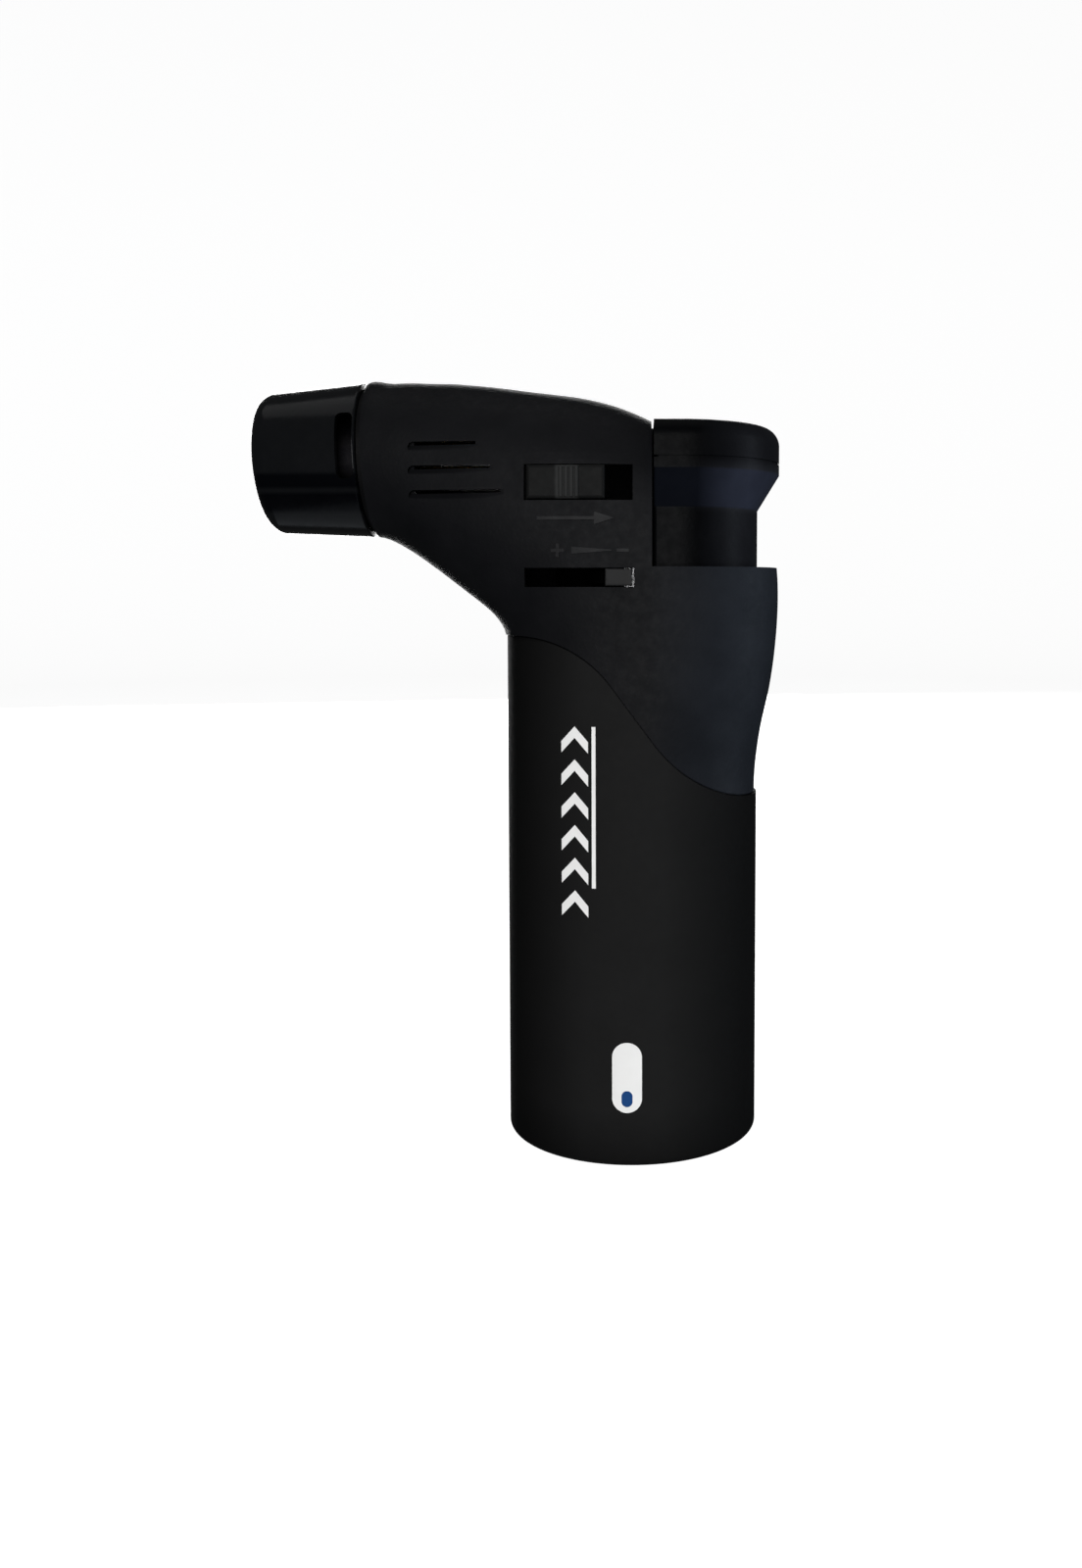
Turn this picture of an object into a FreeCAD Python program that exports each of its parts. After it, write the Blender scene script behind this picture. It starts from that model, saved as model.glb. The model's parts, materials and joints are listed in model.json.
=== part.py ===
"""Pocket butane torch with piezo ignition, built as its separate bench pieces.

Frame: millimetres, +Z up. The origin is the centre of the refill recess in the
flat base, on the axis of the fuel tank. The nozzle points to -X, the thumb
button is at +X, and the side with the two sliders faces -Y.

Every function named after a piece returns that piece as one solid, and main()
writes each of them to parts/NODE.step.
"""

import FreeCAD, Part
import math
import os

V = FreeCAD.Vector
X_AXIS = V(1, 0, 0)
Y_AXIS = V(0, 1, 0)
Z_AXIS = V(0, 0, 1)
ORIGIN = V(0, 0, 0)

# ---------------------------------------------------------------- driving sizes
FIT = 0.05               # gap between parts that sit in each other
SLIP = 0.2               # gap between parts that slide in each other
CLEAR = 0.3              # gap between parts that pass each other

TANK_A = 20.45           # half width of the grip along X
TANK_B = 17.3            # half thickness of the grip along Y
SLEEVE_T = 0.6           # sheet of the painted sleeve
SLEEVE_ROUND = 1.2       # radius where the sleeve turns in under the base
SLEEVE_LIP = 3.0         # how far it turns in

SEAM_TOP_Z = 81.65       # S-shaped seam between head and sleeve, at the front
SEAM_TOP_X, SEAM_TOP_R = -17.7, 18.15   # where its upper arc starts, and its radius
SEAM_LOW_Z = 55.95       # the seam at the back
SEAM_LOW_X, SEAM_LOW_R = 22.3, 23.45    # where its lower arc levels out, and its radius
SEAM_TURN = 53.5         # degrees of each arc
SEAM_GAP = 0.25

WALL = 2.1               # wall of the head's two moulded shells
SKIRT_A = TANK_A - SLEEVE_T - SLIP   # hidden skirt of the shells, inside the sleeve
SKIRT_B = TANK_B - SLEEVE_T - SLIP
SKIRT_T = 1.4
SKIRT_Z = 48.0
SKIRT_TOP_Z = 82.4

TANK_STEP_Z = 47.0       # the tank is slimmer above this, to clear the skirt
TANK_TOP_Z = 76.4
TANK_WALL = 1.6
TANK_NECK_A = SKIRT_A - SKIRT_T - 0.35
TANK_NECK_B = SKIRT_B - SKIRT_T - 0.35
LID_T = 2.5
PAD_INSET = 0.3          # gap between the base pad and the sleeve's lip
REFILL_R = 4.2           # recess that guides a refill can's nozzle
REFILL_DEPTH = 3.0
REFILL_FLANGE_R = 3.8
REFILL_SHANK_R = 3.0
REFILL_TOP_Z = 12.5
REFILL_TRAVEL = 1.5

RING_X = -41.6           # centre of the joint between head and nozzle
RING_Z = 110.1
RING_R = 12.45
DROOP = 2.0              # degrees that the nozzle points below level

BACK_X = 3.1             # rear face of the head, in front of the button
SHELF_Z = 92.6           # ledge that the button's stem goes down through
LIP_X = 2.95             # low flat rim at the top of the rear face
LIP_Z = 116.1

STEM_X0, STEM_FLAT, STEM_X1, STEM_B = 3.4, 7.0, 20.4, 13.4
CAP_FLAT, CAP_X1, CAP_B = 7.5, 23.9, 16.0
BUTTON_BOTTOM_Z = 88.4
FLARE_Z0 = 101.8
FLARE_Z1 = 107.5
CAP_TOP_Z = 115.1
CAP_ROUND = 3.0
GUIDE_HALF, GUIDE_DEPTH = 2.0, 0.5   # tongue on the head that guides the button
CAP_LINE_Z = 109.2       # fine parting line round the cap
BUTTON_WALL = 1.5
BUTTON_TRAVEL = 6.0

VALVE_X = -7.9           # axis of the outlet valve and of the flame lever
BARREL_R = 2.6
BARREL_TOP_Z = 93.6
COLLAR_Z = 95.1          # collar of the valve stem that the gas lever lifts
PIEZO_X = 10.8           # axis of the piezo igniter
PIEZO_LONG, PIEZO_WIDE = 10.0, 9.0
PIEZO_WALL = 0.8
HAMMER_R = 2.4
LID_TOP_Z = TANK_TOP_Z + LID_T
LID_HOLE_R = 3.25
SEAT_Z = LID_TOP_Z - 1.5         # seat of the outlet valve
CHAMBER_TOP_Z = LID_TOP_Z + 7.5
CHAMBER_R = 2.15
STEM_R = 1.15
FILTER_R = 2.0
CASE_FLOOR_Z = LID_TOP_Z + 1.5
CASE_TOP_Z = LID_TOP_Z + 20.5
HAMMER_TOP_Z = CASE_FLOOR_Z + 14
PLUNGER_Z = CASE_FLOOR_Z + 15
PIN_X, PIN_Z, PIN_R = -2.2, 95.8, 1.0

LOCK_X0, LOCK_X1 = -16.2, 0.2    # window of the lock slider
LOCK_Z0, LOCK_Z1 = 102.55, 108.0
LOCK_KNOB_X1 = -4.0
FLAME_HALF = 8.35        # half length of the flame lever's slot
FLAME_X0, FLAME_X1 = 4.0, 8.0    # its knob, from the valve's axis
FLAME_Z0, FLAME_Z1 = 89.5, 92.4
FLAME_SWING = 19.0       # degrees to each side of the slot's middle
FLAME_REACH = 18.3

VENT_X0 = -34.1
VENTS = ((111.6, -23.2), (107.95, -20.9), (104.25, -19.2))
VENT_H = 1.7
VENT_SLIT = 0.5
VENT_DEPTH = 1.2

SCREW_SPOTS = ((-27.0, 97.0), (-5.5, 114.2), (20.1, 77.6))
BOSS_R = 2.1
SCREW_R = 1.05
SCREW_HEAD_R = 1.9
SCREW_HEAD_H = 1.3
SCREW_REACH = 7.0

BURNER_R = 7.5
BURNER_T = 0.5
BURNER_HOLES_R = 4.6
MIXER_R = 3.4
MIXER_BORE = 2.6
GUARD_U0 = 0.9
GUARD_U1 = 17.6
GUARD_T = 1.4
GUARD_FRONT_R = 11.2
GUARD_ROUND = 2.5
GUARD_CUT = 1.2          # degrees that the front rim leans back
SLOT_U = 2.6             # air slots of the guard
SLOT_W = 2.7
SLOT_H = 10.2
SLOT_CORNER = 0.9
SLOT_UP = 1.3
HOSE_R, HOSE_BORE, HOSE_BEND = 1.7, 1.2, 6.5
WIRE_R, WIRE_BEND = 0.7, 3.0
FAR = 200.0              # longer than the whole torch

# Lines that carry the head's sections, from the nozzle ring to the hidden skirt:
# the front and underside in the XZ plane, the top and back, and for each pair of
# points the half thickness along Y with the exponent of the section's
# superellipse (2 is a true ellipse).
RING_LOW = (RING_X + RING_R * math.sin(math.radians(DROOP)),
            RING_Z - RING_R * math.cos(math.radians(DROOP)))
RING_TOP = (2 * RING_X - RING_LOW[0], 2 * RING_Z - RING_LOW[1])
UNDER_LINE = (RING_LOW, (-36.5, 95.7), (-31.0, 91.9), (-26.4, 88.4), (-22.9, 85.6),
              (-21.0, 83.2), (-20.35, 80.4), (-20.25, 74.4), (-20.2, 66.9),
              (-20.2, 59.9), (-20.2, 54.0), (-20.2, SKIRT_Z))
TOP_LINE = (RING_TOP, (-34.5, 122.35), (-25.0, 121.9), (-13.5, 120.5), (0.3, 117.4),
            (16.0, 107.3), (23.3, 93.8), (22.9, 76.4), (21.3, 67.9),
            (20.2, 59.9), (20.15, 54.0), (20.15, SKIRT_Z))
SIDE_LINE = ((RING_R, 2.0), (13.4, 2.15), (14.4, 2.35), (15.5, 2.5), (16.4, 2.6),
             (16.9, 2.6), (17.05, 2.5), (17.1, 2.3), (17.1, 2.12),
             (17.08, 2.02), (17.06, 2.0), (17.04, 2.0))
SECTIONS = 31
SECTION_POINTS = 12


# ---------------------------------------------------------------- small helpers
def box(x0, x1, y0, y1, z0, z1):
    return Part.makeBox(x1 - x0, y1 - y0, z1 - z0, V(x0, y0, z0))


def rod(radius, start, end):
    """Round bar from start to end."""
    along = end - start
    return Part.makeCylinder(radius, along.Length, start, along)


def rod_z(radius, x, z0, z1, y=0.0):
    return rod(radius, V(x, y, z0), V(x, y, z1))


def rod_y(radius, x, z, y0, y1):
    return rod(radius, V(x, y0, z), V(x, y1, z))


def tube_z(r_out, r_in, x, z0, z1):
    return rod_z(r_out, x, z0, z1).cut(rod_z(r_in, x, z0 - 1, z1 + 1))


def join(first, *others):
    made = first
    for other in others:
        made = made.fuse(other)
    return made.removeSplitter()


def ellipse_prism(a, b, z0, z1, x=0.0):
    if a < b:
        raise ValueError("the long half axis comes first")
    edge = Part.Ellipse(V(x, 0, z0), a, b).toShape()
    return Part.Face(Part.Wire([edge])).extrude(V(0, 0, z1 - z0))


def polygon_y(points, y0, y1):
    """Prism along Y on a closed outline of (x, z) points."""
    corners = [V(x, y0, z) for x, z in points]
    return Part.Face(Part.makePolygon(corners + corners[:1])).extrude(V(0, y1 - y0, 0))


def turned(profile):
    """Solid turned about local +X from (u, r) points that start and end on the axis."""
    corners = [V(u, 0, r) for u, r in profile]
    face = Part.Face(Part.makePolygon(corners + corners[:1]))
    return face.revolve(ORIGIN, X_AXIS, 360)


def on_nozzle(shape):
    """Moves a shape built along local +X from the ring's centre to its place, facing -X."""
    placed = shape.copy()
    placed.rotate(ORIGIN, Z_AXIS, 180)
    placed.rotate(ORIGIN, Y_AXIS, -DROOP)
    placed.translate(V(RING_X, 0, RING_Z))
    return placed


def nozzle_point(u, up=0.0, side=0.0):
    """Point at u in front of the ring, up from the nozzle's axis and to the side."""
    tilt = math.radians(DROOP)
    return V(RING_X - u * math.cos(tilt) - up * math.sin(tilt), side,
             RING_Z - u * math.sin(tilt) + up * math.cos(tilt))


def path_of(points, radius):
    """Wire of straight runs through points, with an arc of that radius at each corner."""
    edges = []
    last = points[0]
    for before, corner, after in zip(points, points[1:], points[2:]):
        back = (before - corner).normalize()
        ahead = (after - corner).normalize()
        half = back.getAngle(ahead) / 2
        cut = radius / math.tan(half)
        start, end = corner + back * cut, corner + ahead * cut
        to_centre = (back + ahead).normalize()
        middle = corner + to_centre * (radius / math.sin(half) - radius)
        edges.append(Part.makeLine(last, start))
        edges.append(Part.Arc(start, middle, end).toShape())
        last = end
    edges.append(Part.makeLine(last, points[-1]))
    return Part.Wire(edges)


def swept(path, radius):
    """Round section swept along a path."""
    start = path.Edges[0]
    first = start.valueAt(start.FirstParameter)
    along = start.tangentAt(start.FirstParameter)
    ring = Part.Wire([Part.makeCircle(radius, first, along)])
    return path.makePipeShell([ring], True, True)


def coil(x, z0, z1, mean_r, wire_r, turns):
    """Helical spring on a vertical axis, with its wire inside z0 to z1."""
    height = z1 - z0 - 2 * wire_r
    helix = Part.makeHelix(height / turns, height, mean_r)
    ring = Part.Wire([Part.makeCircle(wire_r, V(mean_r, 0, 0), Y_AXIS)])
    spring = Part.Wire(helix.Edges).makePipeShell([ring], True, True)
    spring.translate(V(x, 0, z0 + wire_r))
    return spring


# ---------------------------------------------------------------- head envelope
def carried_by(points):
    """Spline through points, one unit of its parameter for each step."""
    curve = Part.BSplineCurve()
    curve.interpolate(Points=[V(a, 0, b) for a, b in points],
                      Parameters=list(range(len(points))))
    return curve


UNDER_CURVE = carried_by(UNDER_LINE)
TOP_CURVE = carried_by(TOP_LINE)
SIDE_CURVE = carried_by(SIDE_LINE)


def section(step, inset):
    """Section of the head at a step along its lines, drawn inwards by inset."""
    low = UNDER_CURVE.value(step)
    top = TOP_CURVE.value(step)
    side = SIDE_CURVE.value(step)
    centre = (low + top) * 0.5
    half = (top - low).Length / 2 - inset
    along = (top - low).normalize()
    half_y, power = side.x - inset, side.z
    edges = []
    for flank in (-1, 1):
        points = []
        for i in range(SECTION_POINTS + 1):
            turn = math.pi * i / SECTION_POINTS
            c, s = math.cos(turn), math.sin(turn)
            u = math.copysign(abs(c) ** (2 / power), c) * half
            points.append(centre + along * u + Y_AXIS * (flank * s ** (2 / power) * half_y))
        curve = Part.BSplineCurve()
        curve.interpolate(points)
        edges.append(curve.toShape())
    return Part.Wire(edges)


def head_loft(inset=0.0):
    """The head's whole outside, or the same drawn in by inset."""
    last = len(UNDER_LINE) - 1
    wires = [section(last * i / (SECTIONS - 1), inset) for i in range(SECTIONS)]
    return Part.makeLoft(wires, True, False, False, 3)


def flank_y(envelope, x, z):
    """How far out along Y the envelope reaches at x and z."""
    line = Part.makeLine(V(x, 0, z), V(x, TANK_A * 2, z))
    return envelope.common(line).BoundBox.YMax


def seam_side(above, gap=0.0):
    """Everything above or below the seam, as a prism along Y."""
    turn = math.radians(SEAM_TURN)
    half = turn / 2
    top, low = V(SEAM_TOP_X, 0, SEAM_TOP_Z + gap), V(SEAM_LOW_X, 0, SEAM_LOW_Z + gap)
    top_centre, low_centre = top - V(0, 0, SEAM_TOP_R), low + V(0, 0, SEAM_LOW_R)
    top_mid = top_centre + V(math.sin(half), 0, math.cos(half)) * SEAM_TOP_R
    top_end = top_centre + V(math.sin(turn), 0, math.cos(turn)) * SEAM_TOP_R
    low_start = low_centre - V(math.sin(turn), 0, math.cos(turn)) * SEAM_LOW_R
    low_mid = low_centre - V(math.sin(half), 0, math.cos(half)) * SEAM_LOW_R
    end_z = FAR if above else -FAR
    far_top, far_low = V(-FAR, 0, top.z), V(FAR, 0, low.z)
    edges = [Part.makeLine(far_top, top),
             Part.Arc(top, top_mid, top_end).toShape(),
             Part.makeLine(top_end, low_start),
             Part.Arc(low_start, low_mid, low).toShape(),
             Part.makeLine(low, far_low),
             Part.makeLine(far_low, V(FAR, 0, end_z)),
             Part.makeLine(V(FAR, 0, end_z), V(-FAR, 0, end_z)),
             Part.makeLine(V(-FAR, 0, end_z), far_top)]
    face = Part.Face(Part.Wire(edges))
    face.translate(V(0, -FAR / 2, 0))
    return face.extrude(V(0, FAR, 0))


def d_prism(x0, x_flat, x1, half_y, z0, z1):
    """Upright prism with a flat front, flat sides and a rounded back."""
    wire = d_wire(x0, x_flat, x1, half_y, z0)
    return Part.Face(wire).extrude(V(0, 0, z1 - z0))


def d_wire(x0, x_flat, x1, half_y, z):
    corner = 0.5
    inside = corner * (1 - math.sqrt(0.5))
    axes = [V(x1, 0, z), V(x_flat, half_y, z)]
    if x1 - x_flat < half_y:
        axes = [V(x_flat, -half_y, z), V(x1, 0, z)]
    back = Part.Ellipse(axes[0], axes[1], V(x_flat, 0, z))
    start, middle, end = V(x_flat, -half_y, z), V(x1, 0, z), V(x_flat, half_y, z)
    first = Part.ArcOfEllipse(back, back.parameter(start), back.parameter(middle))
    second = Part.ArcOfEllipse(back, back.parameter(middle), back.parameter(end))
    edges = [first.toShape(), second.toShape(),
             Part.makeLine(end, V(x0 + corner, half_y, z)),
             Part.Arc(V(x0 + corner, half_y, z), V(x0 + inside, half_y - inside, z),
                      V(x0, half_y - corner, z)).toShape(),
             Part.makeLine(V(x0, half_y - corner, z), V(x0, corner - half_y, z)),
             Part.Arc(V(x0, corner - half_y, z), V(x0 + inside, inside - half_y, z),
                      V(x0 + corner, -half_y, z)).toShape(),
             Part.makeLine(V(x0 + corner, -half_y, z), start)]
    return Part.Wire(edges)


# ---------------------------------------------------------------- tank
def tank_sleeve():
    outer = ellipse_prism(TANK_A, TANK_B, 0, SEAM_TOP_Z + 1)
    outer = rounded(outer, SLEEVE_ROUND, 0)
    hollow = ellipse_prism(TANK_A - SLEEVE_T, TANK_B - SLEEVE_T, SLEEVE_T, SEAM_TOP_Z + 2)
    hollow = rounded(hollow, SLEEVE_ROUND - SLEEVE_T, SLEEVE_T)
    opening = ellipse_prism(TANK_A - SLEEVE_LIP, TANK_B - SLEEVE_LIP, -1, 1)
    return outer.cut(hollow).cut(opening).common(seam_side(above=False))


def rounded(shape, radius, z):
    """Rounds the edges that lie level at height z."""
    edges = [e for e in shape.Edges
             if abs(e.BoundBox.ZMin - z) < 1e-4 and abs(e.BoundBox.ZMax - z) < 1e-4]
    return shape.makeFillet(radius, edges)


def tank_shell():
    gap = SLEEVE_T + SLIP
    floor_z = SLEEVE_T + FIT
    body = ellipse_prism(TANK_A - gap, TANK_B - gap, floor_z, TANK_STEP_Z)
    body = rounded(body, SLEEVE_ROUND, floor_z)
    neck = ellipse_prism(TANK_NECK_A, TANK_NECK_B, TANK_STEP_Z - 1, TANK_TOP_Z)
    pad_in = SLEEVE_LIP + PAD_INSET
    pad = ellipse_prism(TANK_A - pad_in, TANK_B - pad_in, 0, 2)
    room = ellipse_prism(TANK_A - gap - TANK_WALL, TANK_B - gap - TANK_WALL,
                         2.8, TANK_STEP_Z - TANK_WALL)
    upper_room = ellipse_prism(TANK_NECK_A - TANK_WALL, TANK_NECK_B - TANK_WALL,
                               TANK_STEP_Z - TANK_WALL - 1, TANK_TOP_Z + 1)
    made = join(body, neck, pad).cut(room).cut(upper_room)
    boss = rod_z(6.0, 0, 2, REFILL_TOP_Z + 0.5)
    made = join(made, boss)
    made = made.cut(rod_z(REFILL_R, 0, -1, REFILL_DEPTH))
    made = made.cut(rod_z(REFILL_FLANGE_R + FIT, 0, 2, REFILL_DEPTH + 1.4))
    return made.cut(rod_z(REFILL_SHANK_R + FIT, 0, 4, REFILL_TOP_Z + 2))


def tank_lid():
    plate = ellipse_prism(TANK_NECK_A, TANK_NECK_B, TANK_TOP_Z, LID_TOP_Z)
    plug = ellipse_prism(TANK_NECK_A - TANK_WALL - FIT, TANK_NECK_B - TANK_WALL - FIT,
                         TANK_TOP_Z - 2, TANK_TOP_Z)
    half_x, half_y = PIEZO_LONG / 2 + FIT, PIEZO_WIDE / 2 + FIT
    rib = 1.15
    frame = box(PIEZO_X - half_x - rib, PIEZO_X + half_x + rib,
                -half_y - rib, half_y + rib, LID_TOP_Z, LID_TOP_Z + 1.5)
    frame = frame.cut(box(PIEZO_X - half_x, PIEZO_X + half_x, -half_y, half_y,
                          LID_TOP_Z - 1, LID_TOP_Z + 2))
    frame = frame.common(ellipse_prism(TANK_NECK_A, TANK_NECK_B, LID_TOP_Z, LID_TOP_Z + 2))
    return join(plate, plug, frame).cut(rod_z(LID_HOLE_R, VALVE_X, TANK_TOP_Z - 5, LID_TOP_Z + 1))


def refill_valve_body():
    """Brass valve in the base: flange, shank with a ring groove, and a chamber."""
    body = join(rod_z(REFILL_FLANGE_R, 0, REFILL_DEPTH + 0.1, REFILL_DEPTH + 1.3),
                rod_z(REFILL_SHANK_R, 0, 4.0, REFILL_TOP_Z))
    groove = tube_z(REFILL_SHANK_R + 1, 2.2, 0, 6.0, 6.9)
    chamber = rod_z(1.95, 0, 5.0, 11.4)
    return body.cut(groove).cut(chamber).cut(rod_z(1.3, 0, 0, 6)).cut(rod_z(0.9, 0, 11, 14))


def refill_valve_stem():
    return join(rod_z(1.05, 0, 3.4, 6.6), rod_z(1.7, 0, 6.6, 7.6), rod_z(0.7, 0, 7.6, 10.6))


def refill_valve_seal():
    return tube_z(1.85, 1.1, 0, 5.02, 6.55)


def refill_valve_spring():
    return coil(0, 7.65, 11.35, 1.3, 0.25, 4)


def refill_o_ring():
    return Part.makeTorus(2.62, 0.4, V(0, 0, 6.45))


# ---------------------------------------------------------------- outlet valve
def outlet_valve_body():
    """Brass valve screwed into the lid: flange, shank, barrel and chamber."""
    top, foot = LID_TOP_Z + 1.7, LID_TOP_Z - 7
    body = join(rod_z(4.0, VALVE_X, LID_TOP_Z + FIT, top),
                rod_z(LID_HOLE_R - FIT, VALVE_X, foot, top),
                rod_z(BARREL_R, VALVE_X, LID_TOP_Z, BARREL_TOP_Z))
    body = body.cut(rod_z(FILTER_R + FIT, VALVE_X, foot - 1, SEAT_Z - 2))
    body = body.cut(rod_z(0.8, VALVE_X, SEAT_Z - 3, SEAT_Z + 1))
    body = body.cut(rod_z(CHAMBER_R, VALVE_X, SEAT_Z, CHAMBER_TOP_Z))
    return body.cut(rod_z(STEM_R + 0.15, VALVE_X, CHAMBER_TOP_Z - 1, BARREL_TOP_Z + 1))


def outlet_valve_stem():
    """Hollow stem: gas enters above the seal and leaves at the hose end."""
    stem = join(rod_z(CHAMBER_R - SLIP, VALVE_X, SEAT_Z + 1.1, SEAT_Z + 2.3),
                rod_z(STEM_R, VALVE_X, SEAT_Z + 2, COLLAR_Z + 3.8),
                rod_z(2.0, VALVE_X, COLLAR_Z, COLLAR_Z + 0.8))
    inlet_z = SEAT_Z + 4
    inlet = rod(0.4, V(VALVE_X - 2, 0, inlet_z), V(VALVE_X + 2, 0, inlet_z))
    return stem.cut(rod_z(0.55, VALVE_X, inlet_z - 0.4, COLLAR_Z + 5)).cut(inlet)


def outlet_valve_seal():
    return rod_z(CHAMBER_R - SLIP, VALVE_X, SEAT_Z + 0.03, SEAT_Z + 1.07)


def outlet_valve_spring():
    return coil(VALVE_X, SEAT_Z + 2.35, CHAMBER_TOP_Z - FIT, 1.62, 0.25, 6)


def flow_filter():
    return rod_z(FILTER_R, VALVE_X, SEAT_Z - 3.6, SEAT_Z - 2.1)


def wick():
    """Fibre wick that carries liquid fuel up to the filter."""
    return rod_z(1.4, VALVE_X, 5.0, SEAT_Z - 3.7)


def flame_lever():
    """Flow screw's lever, with its knob through the side slot, drawn at rest."""
    z0, z1 = FLAME_Z0 + 0.2, FLAME_Z1 - 0.2
    hub = rod_z(4.6, 0, z0 - 0.5, z1 + 0.5)
    arm = box(-1.5, 1.5, -14.2, 0, z0 + 0.4, z1 - 0.3)
    arm.rotate(ORIGIN, Z_AXIS, FLAME_SWING)
    knob = box(FLAME_X0, FLAME_X1, -FLAME_REACH, -12.9, z0, z1)
    knob = knob.makeFillet(0.4, [e for e in knob.Edges if e.BoundBox.YMax < 0.1 - FLAME_REACH])
    lever = join(hub, arm, knob).cut(rod_z(BARREL_R + FIT, 0, z0 - 2, z1 + 2))
    lever.translate(V(VALVE_X, 0, 0))
    return lever


# ---------------------------------------------------------------- gas line and burner
def gas_hose():
    corner = nozzle_point((RING_X - VALVE_X) / math.cos(math.radians(DROOP)))
    route = path_of([V(VALVE_X, 0, COLLAR_Z + 2.25), V(VALVE_X, 0, corner.z),
                     nozzle_point(-22.2)], HOSE_BEND)
    return swept(route, HOSE_R).cut(swept(route, HOSE_BORE))


def jet_holder():
    holder = turned([(-26, 0), (-26, 1.15), (-22, 1.15), (-22, MIXER_BORE - FIT),
                     (-12, MIXER_BORE - FIT), (-12, 0)])
    passage = turned([(-27, 0), (-27, 0.6), (-13.2, 0.6), (-13.2, 1.6), (-11, 1.6), (-11, 0)])
    return on_nozzle(holder.cut(passage))


def jet_orifice():
    disc = turned([(-13.15, 0), (-13.15, 1.55), (-12.1, 1.55), (-12.1, 0)])
    hole = turned([(-14, 0), (-14, 0.12), (-11, 0.12), (-11, 0)])
    return on_nozzle(disc.cut(hole))


def mixing_tube():
    """Venturi tube behind the burner, with four air holes and an end flange."""
    tube = turned([(-15, 0), (-15, MIXER_R), (-0.2, MIXER_R), (-0.2, BURNER_R - BURNER_T - FIT),
                   (1.4, BURNER_R - BURNER_T - FIT), (1.4, 0)])
    tube = tube.cut(turned([(-16, 0), (-16, MIXER_BORE), (2, MIXER_BORE), (2, 0)]))
    for direction in (V(0, 0, 1), V(0, 1, 0)):
        middle = V(-10, 0, 0)
        tube = tube.cut(rod(1.1, middle - direction * 5, middle + direction * 5))
    return on_nozzle(tube.cut(electrode_way(1.1)))


def electrode_way(radius, u0=-5.0, u1=12.0):
    """Rod where the electrode runs, beside and below the burner's axis."""
    off = -BURNER_HOLES_R * math.sqrt(0.5)
    return rod(radius, V(u0, off, off), V(u1, off, off))


def burner_tube():
    tube = turned([(-2, 0), (-2, BURNER_R), (14.5, BURNER_R), (14.5, 0)])
    bore = turned([(-3, 0), (-3, BURNER_R - BURNER_T), (16, BURNER_R - BURNER_T), (16, 0)])
    return on_nozzle(tube.cut(bore))


def flame_holder():
    """Disc with a ring of flame holes, one of which takes the electrode."""
    radius = BURNER_R - BURNER_T - FIT
    disc = turned([(8, 0), (8, radius), (10, radius), (10, 0)])
    disc = disc.cut(turned([(7, 0), (7, 1.6), (11, 1.6), (11, 0)]))
    hole = electrode_way(1.1, 7, 11)
    for i in range(8):
        turned_hole = hole.copy()
        turned_hole.rotate(ORIGIN, X_AXIS, 45 * i)
        disc = disc.cut(turned_hole)
    return on_nozzle(disc)


def burner_flange():
    """Ring between head and guard that carries the burner tube."""
    inner = BURNER_R + FIT
    neck = RING_R - WALL - FIT
    rim = RING_R - 1.05
    spigot = RING_R - GUARD_T - 0.2
    ring = turned([(-2.4, 0), (-2.4, neck), (FIT, neck), (FIT, rim), (GUARD_U0 - FIT, rim),
                   (GUARD_U0 - FIT, spigot), (1.4, spigot), (1.4, 0)])
    return on_nozzle(ring.cut(turned([(-3, 0), (-3, inner), (2, inner), (2, 0)])))


def nozzle_guard():
    """Tapered outer barrel with a leaning front rim and an air slot on each side."""
    length = GUARD_U1 + 3
    slope = (GUARD_FRONT_R - RING_R) / (GUARD_U1 - GUARD_U0)
    end_r = RING_R + slope * (length - GUARD_U0)
    barrel = turned([(GUARD_U0, 0), (GUARD_U0, RING_R), (length, end_r), (length, 0)])
    bite = box(0, 10, -20, 20, -30, 30)
    bite.translate(V(GUARD_U1, 0, 0))
    bite.rotate(V(GUARD_U1, 0, 0), Y_AXIS, GUARD_CUT)
    barrel = barrel.cut(bite)
    front = [e for e in barrel.Edges if e.BoundBox.XMin > GUARD_U1 - 2]
    barrel = barrel.makeFillet(GUARD_ROUND, front)
    barrel = barrel.makeFillet(0.35, [e for e in barrel.Edges if e.BoundBox.XMax < GUARD_U0 + 0.1])
    hollow = turned([(0, 0), (0, RING_R - GUARD_T), (GUARD_U1 - 2.4, GUARD_FRONT_R - GUARD_T),
                     (GUARD_U1 - 1.3, 8.6), (length, 8.6), (length, 0)])
    made = barrel.cut(hollow)
    slot = box(SLOT_U - SLOT_W / 2, SLOT_U + SLOT_W / 2, -20, 20,
               SLOT_UP - SLOT_H / 2, SLOT_UP + SLOT_H / 2)
    slot = slot.makeFillet(SLOT_CORNER, [e for e in slot.Edges if e.BoundBox.YLength > 39])
    return on_nozzle(made.cut(slot))


def electrode():
    return on_nozzle(electrode_way(0.35, -7.5, 13))


def electrode_insulator():
    return on_nozzle(electrode_way(1.0, -5, 11.5).cut(electrode_way(0.4, -6, 12)))


def ignition_wire():
    start = nozzle_point(-7.9, up=-BURNER_HOLES_R * math.sqrt(0.5),
                         side=BURNER_HOLES_R * math.sqrt(0.5))
    lane, low = 9.5, LID_TOP_Z + 2.5
    end_x = PIEZO_X - 1.8
    route = path_of([start, V(-28, lane, RING_Z - 3.6), V(-7, lane, RING_Z - 6.9), V(-7, lane, low),
                     V(end_x, lane, low), V(end_x, PIEZO_WIDE / 2 + FIT, low)], WIRE_BEND)
    return swept(route, WIRE_R)


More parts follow.
